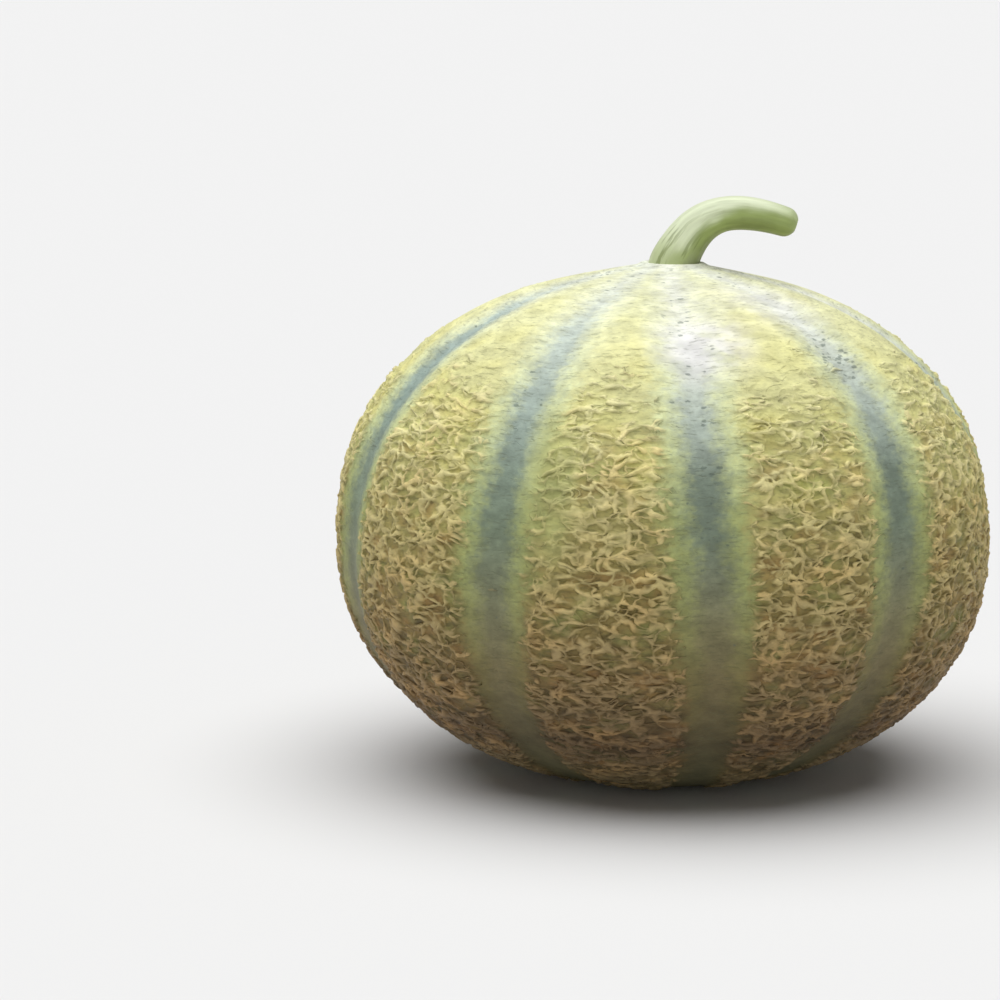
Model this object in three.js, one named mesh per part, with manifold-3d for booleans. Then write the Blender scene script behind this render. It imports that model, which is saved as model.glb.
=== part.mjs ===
// A whole netted cantaloupe melon with its stalk, standing on its blossom end as picked.
// Millimetres, +Z up. The origin is the middle of the flat spot that the melon rests on, and -Y is its front.
// The fruit is one solid: broad ribs parted by shallow sutures, with a corky net raised from its skin.
// The stalk is a second solid. Its foot is sunk in a plain round seat at the top of the fruit.
import * as THREE from "three";
import { ConvexHull } from "three/addons/math/ConvexHull.js";
import { mergeVertices } from "three/addons/utils/BufferGeometryUtils.js";
import Module from "manifold-3d";

// ---- Driving dimensions ----

const girthRadius = 78.8; // axis to the skin at the fullest height, before the net
const restHeight = 58.2; // flat spot up to the fullest height
const topHeight = 63.8; // fullest height up to the skin at the axis
const bottomHeight = 60; // fullest height down to the blossom end, before it is flattened
const fullness = 2.17; // superellipse power: 2 is an ellipsoid, more is squarer in the shoulders

// Sutures, in degrees round the axis from the front, counted towards +X, at the fullest height.
const sutureAngles = [-71.5, -29.4, 8.4, 44.2, 87, 125.5, 167, 205, 245.5];
const sutureLeans = [6, 3, -3, 2.5, -2, 2, -3, 2, -3]; // degrees more at the stalk end, and less at the other
const grooveDepth = 1;
const grooveHalfWidth = 6.5;
const lobeDepth = 0.7; // how much a rib swells between its two sutures
const lobeFlatness = 0.8; // under 1 is a rib with a broader, flatter back
// The ribs fade out towards the ends, between these cosines of the height angle.
const ribsFadeToStalk = [0.12, 0.7];
const ribsFadeToBlossom = [0.38, 0.95];

// The net, larger than life: steep ridges round cells that lie in wandering rows.
const netHeight = 1.45;
const netUnevenness = 0.25; // crests stand this share higher or lower
const ridgeHalfWidth = 1.15;
const cellWidth = 11;
const rowHeight = 9.7;
const rowStagger = 0.25; // share of a cell by which the rows are shifted, to and fro
const wanderAcross = 4.6; // range over which a netted cell is moved at random
const wanderAlong = 5.2;
const bareWanderAcross = 0.3; // and the smooth cells beside a suture
const bareWanderAlong = 0.8;
const sutureCellOffset = 4.4; // the smooth cells that flank a suture lie this far from it
const oneCellRib = 9; // a rib narrower than this, near the ends, has one cell to a row
const twoCellRib = 21.6; // and one narrower than this has two
const bareBesideSuture = 5.5; // the net starts here, beside a suture
const fullBesideSuture = 11; // and has its whole height here
const bareRoundStalk = 24; // degrees from the axis
const fullRoundStalk = 46;
const bareRoundBlossom = 20;
const fullRoundBlossom = 38;
const leastNet = 0.08; // a cell whose net would be lower than this share of its height stays smooth

const blossomScarRadius = 4;
const blossomScarDepth = 1.1;
const stalkShift = 2; // the stalk stands a little beside the axis
const stalkRiseHeight = 1.6; // the skin rises this much towards the stalk
const stalkRiseRadius = 13;
const seatDepth = 3.4;
const seatClearance = 0.3;
const seatSides = 40;

// The stalk's centreline above the skin: [sideways, up, radius].
const stalkStations = [
  [0, 0, 6.1],
  [0.9, 2.2, 5.7],
  [2.7, 5.4, 5.3],
  [5, 8.4, 5.1],
  [8.2, 10.8, 4.6],
  [12.2, 12.3, 4.2],
  [16.6, 12.7, 4.1],
  [21, 12, 3.9],
  [24.8, 11, 3.7],
  [29, 9.9, 3.6],
];
const stalkFootRadius = stalkStations[0][2];
const stalkCorners = 5;
const stalkAngularity = 0.05; // how far its corners stand out, as a share of its radius
const stalkStraight = 0.8; // it stays upright until this far below the skin
const stalkEndRound = 2.6; // how far back from the cut end its rim is rounded
const stalkEndFlat = 0.55; // share of the radius that stays flat on the cut end
const stalkSides = 20;
const stalkRings = 26;

const rindMaterial = new THREE.MeshStandardMaterial({ color: 0xada56c, roughness: 0.75, metalness: 0 });
const stalkMaterial = new THREE.MeshStandardMaterial({ color: 0x9aa56a, roughness: 0.6, metalness: 0 });

// ---- Small helpers ----

const { degToRad, radToDeg, clamp, lerp, smoothstep, euclideanModulo } = THREE.MathUtils;
const wrap = (angle) => euclideanModulo(angle, 2 * Math.PI);

// Seeded draws from 0 to 1, so that every build is alike.
function drawFrom(seed) {
  let state = seed;
  return () => {
    state = (Math.imul(state, 1664525) + 1013904223) >>> 0;
    return state / 2 ** 32;
  };
}

// ---- The skin as a formula ----

// A direction is a unit vector. Its z is the sine of the height angle.
// Longitudes run round the axis from the front towards +X.
function directionOf(longitude, heightAngle) {
  const level = Math.cos(heightAngle);
  return new THREE.Vector3(level * Math.sin(longitude), -level * Math.cos(longitude), Math.sin(heightAngle));
}
const longitudeOf = (direction) => Math.atan2(direction.x, -direction.y);
const heightAngleOf = (direction) => Math.asin(clamp(direction.z, -1, 1));
const stalkEnd = directionOf(0, Math.PI / 2);
const blossomEnd = directionOf(0, -Math.PI / 2);

// The ribs at a height. Each runs from its own suture to the next one round.
function ribsAt(heightAngle) {
  const lean = Math.sin(heightAngle);
  const sutures = sutureAngles.map((angle, i) => wrap(degToRad(angle + sutureLeans[i] * lean)));
  sutures.sort((a, b) => a - b);
  return sutures.map((start, i) => ({ start, span: wrap(sutures[(i + 1) % sutures.length] - start) }));
}

// Where a direction lies: how far across its rib, from 0 to 1, and its angle from the nearer suture.
function placeAcrossRib(direction) {
  const longitude = longitudeOf(direction);
  const ribs = ribsAt(heightAngleOf(direction));
  const rib = ribs.find(({ start, span }) => wrap(longitude - start) <= span) ?? ribs[0];
  const angle = wrap(longitude - rib.start);
  return { share: angle / rib.span, sutureAngle: Math.min(angle, rib.span - angle) };
}

function squareness(heightAngle) {
  const across = Math.abs(Math.cos(heightAngle)) ** fullness;
  const along = Math.abs(Math.sin(heightAngle)) ** fullness;
  return (across + along) ** (-1 / fullness);
}

const radiusAt = (heightAngle) => girthRadius * squareness(heightAngle) * Math.cos(heightAngle);

// Millimetres round the skin from a direction to the nearest suture.
function fromSuture(direction) {
  return placeAcrossRib(direction).sutureAngle * radiusAt(heightAngleOf(direction));
}

// How far the skin is sunk in and beside the sutures.
function ribSink(direction) {
  const heightAngle = heightAngleOf(direction);
  const [gone, whole] = heightAngle > 0 ? ribsFadeToStalk : ribsFadeToBlossom;
  const { share } = placeAcrossRib(direction);
  const groove = grooveDepth * Math.exp(-((fromSuture(direction) / grooveHalfWidth) ** 2));
  const lobe = lobeDepth * (1 - Math.sin(Math.PI * share) ** lobeFlatness);
  return (groove + lobe) * smoothstep(Math.cos(heightAngle), gone, whole);
}

// The point of the skin in a direction, raised along the skin's normal.
function skinPoint(direction, raised = 0) {
  const halves = new THREE.Vector3(girthRadius, girthRadius, direction.z > 0 ? topHeight : bottomHeight);
  const normal = direction.clone().divide(halves).normalize();
  const point = direction.clone().multiply(halves).multiplyScalar(squareness(heightAngleOf(direction)));
  point.addScaledVector(normal, raised - ribSink(direction));
  if (direction.z > 0) {
    const fromStalk = Math.hypot(point.x - stalkShift, point.y);
    point.z += stalkRiseHeight * Math.exp(-((fromStalk / stalkRiseRadius) ** 2));
  }
  const inScar = Math.hypot(point.x, point.y) < blossomScarRadius;
  point.z = Math.max(point.z + restHeight, inScar ? blossomScarDepth : 0);
  return point;
}

// How much of the net shows in a direction, from 0 where the skin is bare to 1.
function netShare(direction) {
  const fromStalkEnd = radToDeg(direction.angleTo(stalkEnd));
  const beside = smoothstep(fromSuture(direction), bareBesideSuture, fullBesideSuture);
  const below = smoothstep(fromStalkEnd, bareRoundStalk, fullRoundStalk);
  const above = smoothstep(180 - fromStalkEnd, bareRoundBlossom, fullRoundBlossom);
  return beside * below * above;
}

// ---- The net's cells ----

// Places of cells across a rib of this width. Those of netted cells are marked, and are shifted with the row.
function placesAcross(width, shift) {
  if (width < oneCellRib) return [{ at: width / 2 }];
  if (width < twoCellRib) return [{ at: width / 4 }, { at: (3 * width) / 4 }];
  const places = [{ at: sutureCellOffset }, { at: width - sutureCellOffset }];
  const inner = width - 4 * sutureCellOffset;
  const count = Math.max(1, Math.round(inner / cellWidth));
  for (let i = 0; i < count; i++) {
    places.push({ at: 2 * sutureCellOffset + ((i + 0.5 + shift) * inner) / count, netted: true });
  }
  return places;
}

// One seed to a cell, in rows round the fruit.
// Two smooth cells flank each suture, so that their shared edge runs along it.
function cellSeeds() {
  const draw = drawFrom(20418);
  const wander = (range) => (draw() - 0.5) * range;
  const seeds = [stalkEnd, blossomEnd];
  const rows = Math.round((Math.PI * (girthRadius + topHeight)) / 2 / rowHeight);
  const rowAngle = Math.PI / rows;
  for (let row = 1; row < rows; row++) {
    const rowHeightAngle = row * rowAngle - Math.PI / 2;
    const radius = radiusAt(rowHeightAngle);
    const shift = row % 2 ? rowStagger : -rowStagger;
    for (const rib of ribsAt(rowHeightAngle)) {
      for (const { at, netted } of placesAcross(rib.span * radius, shift)) {
        const along = wander(netted ? wanderAlong : bareWanderAlong) / rowHeight;
        const across = at + wander(netted ? wanderAcross : bareWanderAcross);
        seeds.push(directionOf(rib.start + across / radius, rowHeightAngle + along * rowAngle));
      }
    }
  }
  return seeds;
}

// The cells round the seeds on the unit sphere: a hull's face normal is where three cells meet.
function cellsOf(seeds) {
  const hull = new ConvexHull().setFromPoints(seeds);
  const corners = hull.faces.map((face) => face.normal.clone().normalize());
  const cornersOf = new Map(seeds.map((seed) => [seed, []]));
  hull.faces.forEach((face, corner) => {
    for (let i = 0; i < 3; i++) cornersOf.get(face.getEdge(i).head().point).push(corner);
  });
  const cells = [...cornersOf].map(([seed, around]) => {
    const side = new THREE.Vector3(seed.y, -seed.x, 0.01).cross(seed).normalize();
    const other = new THREE.Vector3().crossVectors(seed, side);
    const turn = (corner) => Math.atan2(corners[corner].dot(other), corners[corner].dot(side));
    return { seed, around: around.sort((a, b) => turn(a) - turn(b)) };
  });
  return { corners, cells };
}

// ---- Fruit ----

// Millimetres from a cell's seed to the line of the edge between two of its corners.
function edgeDistance(seed, start, end) {
  const [middle, a, b] = [seed, start, end].map((direction) => skinPoint(direction));
  const edge = b.clone().sub(a);
  return middle.sub(a).cross(edge).length() / edge.length();
}

// The corners of a netted cell's floor, drawn in from the cell's own by the width of the banks.
function floorDirections(seed, outline) {
  const count = outline.length;
  const toEdge = outline.map((corner, i) => edgeDistance(seed, corner, outline[(i + 1) % count]));
  return outline.map((corner, i) => {
    const toEdges = (toEdge[i] + toEdge[(i + count - 1) % count]) / 2;
    const inward = Math.min(ridgeHalfWidth / toEdges, 0.5);
    return corner.clone().lerp(seed, inward).normalize();
  });
}

// Netted cells are flat floors inside steep banks, which climb to the crests they share with their neighbours.
function fruitGeometry() {
  const draw = drawFrom(977);
  const { corners, cells } = cellsOf(cellSeeds());
  const points = [];
  const triangles = [];
  const add = (point) => points.push(point) - 1;
  const crests = corners.map((corner) => {
    const uneven = 1 + (2 * draw() - 1) * netUnevenness;
    return add(skinPoint(corner, netHeight * netShare(corner) * uneven));
  });
  for (const { seed, around } of cells) {
    const crest = around.map((corner) => crests[corner]);
    const outline = around.map((corner) => corners[corner]);
    if (!outline.some((corner) => netShare(corner) > leastNet)) {
      const middle = add(skinPoint(seed));
      crest.forEach((start, i) => triangles.push(middle, start, crest[(i + 1) % crest.length]));
      continue;
    }
    const floor = floorDirections(seed, outline).map((corner) => add(skinPoint(corner)));
    for (let i = 0; i < crest.length; i++) {
      const next = (i + 1) % crest.length;
      triangles.push(crest[i], crest[next], floor[i], crest[next], floor[next], floor[i]);
      if (i > 1) triangles.push(floor[0], floor[i - 1], floor[i]);
    }
  }
  return meshedFrom(points, triangles);
}

// A closed geometry, with points that fall together joined and the slivers between them dropped.
function meshedFrom(points, triangles) {
  const raw = new THREE.BufferGeometry().setFromPoints(points);
  raw.setIndex(triangles);
  const geometry = mergeVertices(raw, 0.01);
  const index = geometry.index.array;
  const kept = [];
  for (let i = 0; i < index.length; i += 3) {
    const [a, b, c] = index.slice(i, i + 3);
    if (a !== b && b !== c && c !== a) kept.push(a, b, c);
  }
  geometry.setIndex(kept);
  return geometry;
}

// ---- Stalk ----

const seatTop = skinPoint(stalkEnd).z;
const seatRadius = stalkFootRadius * (1 + stalkAngularity) + seatClearance;

// The centreline, from the foot in its seat to the cut end, and the radius at each of its points.
function stalkLine() {
  const foot = [
    [0, seatClearance - seatDepth, stalkFootRadius],
    [0, -stalkStraight, stalkFootRadius],
  ];
  const stations = [...foot, ...stalkStations.slice(1)];
  const points = stations.map(([side, up]) => new THREE.Vector3(stalkShift + side, 0, seatTop + up));
  const curve = new THREE.CatmullRomCurve3(points, false, "centripetal");
  const radiusAlong = (along) => {
    const station = along * (stations.length - 1);
    const before = Math.min(Math.floor(station), stations.length - 2);
    return lerp(stations[before][2], stations[before + 1][2], station - before);
  };
  return { curve, radiusAlong };
}

// The stalk is turned straight, then bent along its centreline and given its five soft corners.
function stalkGeometry() {
  const { curve, radiusAlong } = stalkLine();
  const length = curve.getLength();
  const profile = [new THREE.Vector2(0, 0)];
  for (let i = 0; i <= stalkRings; i++) {
    const along = i / stalkRings;
    const toEnd = Math.min(((1 - along) * length) / stalkEndRound, 1);
    const rim = lerp(stalkEndFlat, 1, Math.sqrt(1 - (1 - toEnd) ** 2));
    profile.push(new THREE.Vector2(radiusAlong(along) * rim, along));
  }
  profile.push(new THREE.Vector2(0, 1));
  const geometry = new THREE.LatheGeometry(profile, stalkSides);
  const position = geometry.attributes.position;
  const across = new THREE.Vector3(0, 1, 0);
  for (let i = 0; i < position.count; i++) {
    const straight = new THREE.Vector3().fromBufferAttribute(position, i);
    const turn = Math.atan2(straight.z, straight.x);
    const radius = Math.hypot(straight.x, straight.z) * (1 + stalkAngularity * Math.cos(stalkCorners * turn));
    const outward = new THREE.Vector3().crossVectors(across, curve.getTangent(straight.y));
    const bent = curve.getPoint(straight.y);
    bent.addScaledVector(outward, radius * Math.cos(turn));
    bent.addScaledVector(across, -radius * Math.sin(turn));
    position.setXYZ(i, bent.x, bent.y, bent.z);
  }
  return geometry;
}

// ---- Joining and cutting ----

const wasm = await Module();
wasm.setup();

function solidOf(geometry) {
  const bare = geometry.clone();
  bare.deleteAttribute("normal");
  bare.deleteAttribute("uv");
  const merged = mergeVertices(bare);
  return new wasm.Manifold(
    new wasm.Mesh({
      numProp: 3,
      vertProperties: merged.attributes.position.array,
      triVerts: new Uint32Array(merged.index.array),
    }),
  );
}

function geometryOf(solid) {
  const { vertProperties, triVerts } = solid.getMesh();
  const geometry = new THREE.BufferGeometry();
  geometry.setAttribute("position", new THREE.BufferAttribute(vertProperties, 3));
  geometry.setIndex(new THREE.BufferAttribute(triVerts, 1));
  geometry.computeVertexNormals();
  return geometry;
}

// The fruit with the round seat cut in its top.
function seatedFruitGeometry() {
  const seat = new THREE.CylinderGeometry(seatRadius, seatRadius, 2 * seatDepth, seatSides);
  seat.rotateX(Math.PI / 2).translate(stalkShift, 0, seatTop);
  return geometryOf(solidOf(fruitGeometry()).subtract(solidOf(seat)));
}

// ---- Assembly ----

const fruit = new THREE.Mesh(seatedFruitGeometry(), rindMaterial);
fruit.name = "fruit";
const stalk = new THREE.Mesh(stalkGeometry(), stalkMaterial);
stalk.name = "stalk";

const melon = new THREE.Group();
melon.add(fruit, stalk);
export default melon;
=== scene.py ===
# A whole netted cantaloupe with its stalk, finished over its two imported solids.
# Metres, +Z up, the front towards -Y, as the solids are.
import math

import bpy
import numpy as np
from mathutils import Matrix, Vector


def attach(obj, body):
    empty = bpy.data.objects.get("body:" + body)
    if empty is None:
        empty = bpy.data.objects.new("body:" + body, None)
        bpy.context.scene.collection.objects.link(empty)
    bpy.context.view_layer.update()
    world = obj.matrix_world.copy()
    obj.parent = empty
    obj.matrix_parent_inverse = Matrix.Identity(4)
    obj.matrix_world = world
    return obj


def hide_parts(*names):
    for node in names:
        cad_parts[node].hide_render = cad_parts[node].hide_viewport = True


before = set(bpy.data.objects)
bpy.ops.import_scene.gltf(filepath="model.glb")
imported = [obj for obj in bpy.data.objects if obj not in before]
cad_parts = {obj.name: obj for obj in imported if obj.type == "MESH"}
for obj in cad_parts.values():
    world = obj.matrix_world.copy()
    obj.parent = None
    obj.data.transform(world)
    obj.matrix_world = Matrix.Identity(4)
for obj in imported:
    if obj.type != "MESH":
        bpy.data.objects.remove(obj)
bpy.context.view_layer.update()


# helpers for objects

def deselectAll():
    if bpy.context.object and bpy.context.object.mode != "OBJECT":
        bpy.ops.object.mode_set(mode="OBJECT")
    bpy.ops.object.select_all(action="DESELECT")


def takeNew(name):
    piece = bpy.context.object
    piece.name = name
    piece.data.name = name
    return piece


def chooseOnly(piece):
    deselectAll()
    piece.select_set(True)
    bpy.context.view_layer.objects.active = piece


def readPoints(piece):
    flat = np.empty(len(piece.data.vertices) * 3, np.float32)
    piece.data.vertices.foreach_get("co", flat)
    return flat.reshape(-1, 3).astype(np.float64)


def writePoints(piece, points):
    piece.data.vertices.foreach_set("co", points.astype(np.float32).ravel())
    piece.data.update()


def writeAttribute(piece, name, values):
    layer = piece.data.attributes.get(name) or piece.data.attributes.new(name, "FLOAT", "POINT")
    layer.data.foreach_set("value", values.astype(np.float32))


# helpers for nodes, alike in materials and in geometry nodes

def addNode(tree, kind, inputs=None, **settings):
    node = tree.nodes.new(kind)
    for name, value in settings.items():
        setattr(node, name, value)
    for key, value in (inputs or {}).items():
        feed(tree, node.inputs[key], value)
    return node


def feed(tree, socket, value):
    if isinstance(value, bpy.types.NodeSocket):
        tree.links.new(value, socket)
    else:
        socket.default_value = value


def calc(tree, operation, *values, clamp=False):
    inputs = dict(enumerate(values))
    return addNode(tree, "ShaderNodeMath", inputs, operation=operation, use_clamp=clamp).outputs[0]


def plus(tree, first, *others):
    for other in others:
        first = calc(tree, "ADD", first, other)
    return first


def times(tree, first, *others):
    for other in others:
        first = calc(tree, "MULTIPLY", first, other)
    return first


def evenly(tree, value, amount):
    # a noise spread evenly to both sides of zero
    return calc(tree, "MULTIPLY_ADD", value, amount, -amount / 2)


def calcVector(tree, operation, first, second=None, scale=None):
    inputs = {0: first}
    if second is not None:
        inputs[1] = second
    if scale is not None:
        inputs["Scale"] = scale
    node = addNode(tree, "ShaderNodeVectorMath", inputs, operation=operation)
    return node.outputs["Value" if operation in ("DOT_PRODUCT", "DISTANCE") else "Vector"]


def joined(tree, x, y, z):
    return addNode(tree, "ShaderNodeCombineXYZ", {0: x, 1: y, 2: z}).outputs[0]


def parted(tree, vector):
    return addNode(tree, "ShaderNodeSeparateXYZ", {0: vector}).outputs


def ramp(tree, value, low, high, start=0.0, end=1.0):
    inputs = {"Value": value, "From Min": low, "From Max": high, "To Min": start, "To Max": end}
    return addNode(tree, "ShaderNodeMapRange", inputs, interpolation_type="SMOOTHSTEP").outputs[0]


def noise(tree, place, size, detail=2.0, roughness=0.5, output="Fac"):
    inputs = {"Vector": place, "Scale": 1 / size, "Detail": detail, "Roughness": roughness}
    return addNode(tree, "ShaderNodeTexNoise", inputs, noise_dimensions="3D").outputs[output]


def mixColour(tree, factor, first, second):
    node = addNode(tree, "ShaderNodeMix", {0: factor, 6: first, 7: second}, data_type="RGBA")
    return node.outputs[2]


def lighter(tree, base, pattern, low, high, span=(0.2, 0.8)):
    # dims and brightens a colour by a noise, most of which lies within the span
    return calcVector(tree, "SCALE", base, scale=ramp(tree, pattern, *span, low, high))


def readAttribute(tree, name, output="Fac"):
    return addNode(tree, "ShaderNodeAttribute", attribute_name=name).outputs[output]


def startMaterial(name):
    material = bpy.data.materials.new(name)
    material.use_nodes = True
    material.node_tree.nodes.clear()
    return material, material.node_tree


def finishMaterial(tree, base, height, finish):
    # the colour and the bump go into one shader, with its gloss set on its own sockets
    shader = addNode(tree, "ShaderNodeBsdfPrincipled", {"Base Color": base})
    shader.inputs["Roughness"].default_value = finish["roughness"]
    shader.inputs["Specular IOR Level"].default_value = finish["specular"]
    bump = addNode(tree, "ShaderNodeBump", {"Height": height})
    bump.inputs["Distance"].default_value = finish["bumpDistance"]
    bump.inputs["Strength"].default_value = finish["bumpStrength"]
    tree.links.new(bump.outputs[0], shader.inputs["Normal"])
    output = addNode(tree, "ShaderNodeOutputMaterial")
    tree.links.new(shader.outputs[0], output.inputs[0])


def colour(red, green, blue):
    # from screen values out of 255 to the linear ones that the nodes take
    def linear(value):
        share = value / 255
        return share / 12.92 if share <= 0.04045 else ((share + 0.055) / 1.055) ** 2.4
    return (linear(red), linear(green), linear(blue), 1.0)


fruitForm = {
    "girthRadius": 0.0788,       # to the skin at the fullest height, before the net
    "restHeight": 0.0582,        # from the flat spot up to the fullest height
    "topHeight": 0.0638,
    "bottomHeight": 0.0600,
    "fullness": 2.17,            # 2 is an ellipsoid, more is squarer in the shoulders
    "sutureDegrees": (-71.5, -29.4, 8.4, 44.2, 87, 125.5, 167, 205, 245.5),
    # degrees more at the stalk end, and less at the other
    "sutureLeans": (6, 3, -3, 2.5, -2, 2, -3, 2, -3),
    # how far each suture's blue-grey climbs, from 0 to 1
    "stripeTones": (1.0, 0.65, 0.0, 0.2, 0.0, 0.1, 0.8, 0.3, 0.6),
    "grooveDepth": 0.0010,
    "grooveHalfWidth": 0.0065,
    "lobeDepth": 0.0007,
    "lobeFlatness": 0.8,
    "ribsFadeToStalk": (0.12, 0.7),         # cosines of the height angle: no ribs, whole ribs
    "ribsFadeToBlossom": (0.38, 0.95),
    "stalkShift": 0.002,
    "stalkRise": 0.0016,
    "stalkRiseRadius": 0.013,
    "lipHeight": 0.0006,         # the skin stands up in a ring round the stalk's foot
    "lipRadius": 0.0074,
    "lipWidth": 0.0011,
    "restRounding": 0.00025,     # how softly the flat spot runs into the skin
    "scarRadius": 0.0040,
    "scarFloor": 0.3,            # share of the scar's radius that is flat
    "scarDepth": 0.0011,
    "netBaseLift": 0.00044,      # the skin lies this much outside the plain form
    "blankSubdivisions": 9,
    "triangles": 196000,
}

netSpread = {
    "besideSuture": (0.0050, 0.0130),   # metres from a suture: the net starts, and is whole
    "roundStalk": (29, 73),             # degrees from the stalk end
    "roundBlossom": (9, 20),            # and from the blossom end
    "lowNarrowing": 0.7,                # the bare stripes narrow this much low on the fruit,
    "lowAngles": (0.0, 0.9),            # from the one to the other, radians below the fullest height
}


def smoothStep(values, low, high):
    share = np.clip((values - low) / (high - low), 0, 1)
    return share * share * (3 - 2 * share)


def directionsOf(points, form):
    offset = points - np.array([0, 0, form["restHeight"]])
    half = np.where(offset[:, 2] > 0, form["topHeight"], form["bottomHeight"])
    offset[:, :2] /= form["girthRadius"]
    offset[:, 2] /= half
    return offset / np.linalg.norm(offset, axis=1, keepdims=True)


def turnsPastSutures(directions, form):
    # the turn from each suture on to each place, from 0 to a whole turn
    longitude = np.arctan2(directions[:, 0], -directions[:, 1])
    degrees = np.array(form["sutureDegrees"]) + directions[:, 2:] * np.array(form["sutureLeans"])
    return (longitude[:, None] - np.radians(degrees)) % (2 * math.pi)


def placeAcrossRibs(directions, form):
    # metres round the skin to the nearest suture, and the share of the way across the rib
    heightAngle = np.arcsin(np.clip(directions[:, 2], -1, 1))
    after = turnsPastSutures(directions, form)
    angle = after.min(axis=1)
    before = (2 * math.pi - after).min(axis=1)
    ringRadius = form["girthRadius"] * squareness(heightAngle, form) * np.cos(heightAngle)
    return np.minimum(angle, before) * ringRadius, angle / (angle + before), heightAngle


def squareness(heightAngle, form):
    # how far out the outline stands beside a circle's
    power = form["fullness"]
    return (np.abs(np.cos(heightAngle)) ** power + np.abs(np.sin(heightAngle)) ** power) ** (-1 / power)


def skinPoints(directions, form):
    # the skin without its net: ribs, the crown's rise round the stalk, the flat spot and the scar
    sutureGap, share, heightAngle = placeAcrossRibs(directions, form)
    half = np.where(directions[:, 2] > 0, form["topHeight"], form["bottomHeight"])
    halves = np.stack([np.full_like(half, form["girthRadius"])] * 2 + [half], axis=1)
    normals = directions / halves
    normals /= np.linalg.norm(normals, axis=1, keepdims=True)
    points = directions * halves * squareness(heightAngle, form)[:, None]
    level = np.cos(heightAngle)
    fade = np.where(
        directions[:, 2] > 0,
        smoothStep(level, *form["ribsFadeToStalk"]),
        smoothStep(level, *form["ribsFadeToBlossom"]),
    )
    groove = form["grooveDepth"] * np.exp(-((sutureGap / form["grooveHalfWidth"]) ** 2))
    lobe = form["lobeDepth"] * (1 - np.sin(math.pi * np.clip(share, 0, 1)) ** form["lobeFlatness"])
    points += normals * (form["netBaseLift"] - (groove + lobe) * fade)[:, None]
    fromStalk = np.hypot(points[:, 0] - form["stalkShift"], points[:, 1])
    rise = form["stalkRise"] * np.exp(-((fromStalk / form["stalkRiseRadius"]) ** 2))
    rise += form["lipHeight"] * np.exp(-(((fromStalk - form["lipRadius"]) / form["lipWidth"]) ** 2))
    points[:, 2] += np.where(directions[:, 2] > 0, rise, 0) + form["restHeight"]
    soft = form["restRounding"]
    flattened = (points[:, 2] + np.sqrt(points[:, 2] ** 2 + soft ** 2)) / 2
    points[:, 2] = np.where(directions[:, 2] < 0, flattened, points[:, 2])
    fromAxis = np.hypot(points[:, 0], points[:, 1])
    scarRadius = form["scarRadius"]
    scar = form["scarDepth"] * (1 - smoothStep(fromAxis, form["scarFloor"] * scarRadius, scarRadius))
    points[:, 2] += np.where(directions[:, 2] < 0, scar, 0)
    return points


def markRibs(piece, form, spread):
    # what the net and the colours need to know of each place on the skin
    directions = directionsOf(readPoints(piece), form)
    sutureGap, _, heightAngle = placeAcrossRibs(directions, form)
    sutureGap = sutureGap * (1 + spread["lowNarrowing"] * smoothStep(-heightAngle, *spread["lowAngles"]))
    fromStalkEnd = 90 - np.degrees(heightAngle)
    show = smoothStep(sutureGap, *spread["besideSuture"])
    show *= smoothStep(fromStalkEnd, *spread["roundStalk"])
    show *= smoothStep(180 - fromStalkEnd, *spread["roundBlossom"])
    after = turnsPastSutures(directions, form)
    nearest = np.minimum(after, 2 * math.pi - after).argmin(axis=1)
    writeAttribute(piece, "sutureGap", sutureGap)
    writeAttribute(piece, "netShow", show)
    writeAttribute(piece, "stripeTone", np.array(form["stripeTones"])[nearest])


# the corky net: one pattern makes the relief and the colours
netLook = {
    "cellWidth": 0.0046,
    "flatness": 1.2,             # cells are this many times wider than they are tall
    "poleLevel": 0.02,           # keeps the sums clear of the poles
    "waveSize": 0.011,           # the borders between cells wave widely,
    "waveReach": 0.0042,
    "wriggleSize": 0.0029,       # and wriggle finely
    "wriggleReach": 0.0014,
    "leastSteepness": 0.35,      # a border that slants through the skin counts as this steep
    "cordHeight": 0.00086,
    "cordHalfWidth": 0.00118,
    "leastHalfWidth": 0.00001,
    "crest": 1.6,                # more makes the top of a cord narrower
    "swell": dict(size=0.0030, detail=1.0),
    "swellSpan": (0.3, 0.7),     # values of the noise,
    "swellShares": (0.7, 1.3),   # and the share of a cord's width there
    "breaks": dict(size=0.0040, detail=1.0),
    "breakSpan": (0.36, 0.58),
    "breakShares": (0.3, 1.0),   # of a cord's height
    "squiggle": dict(size=0.0068, detail=2.5),      # loose wavy cords between the main ones
    "squiggleWidth": 0.062,      # in values of the noise, to each side of its middle
    "squiggleShare": 0.6,        # how high they stand beside the main ones
    "squiggleWriggle": 0.6,      # how much they wriggle beside the main ones
    "squiggleShift": 0.53,
    "joinSoftness": 0.15,
    "ragged": dict(size=0.006),
    "raggedAmount": 0.8,
    "drift": dict(size=0.017, detail=1.0),
    "driftAmount": 1.0,
    "showWeight": 1.3,
    "smooth": dict(size=0.013, detail=1.0),
    "smoothShift": (0.3, 0.1, 0.2),
    "smoothSpan": (0.62, 0.72),
    "smoothLoss": 0.7,
    "levelSpan": (0.3, 0.8),     # how level a border runs,
    "levelGain": (-0.4, 0.2),    # and how much sooner its cord grows
    "growthSpan": (0.1, 1.15),   # no cord, whole cord
    "wideFrom": 0.75,            # the growth from which a cord has its whole width
}


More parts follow.
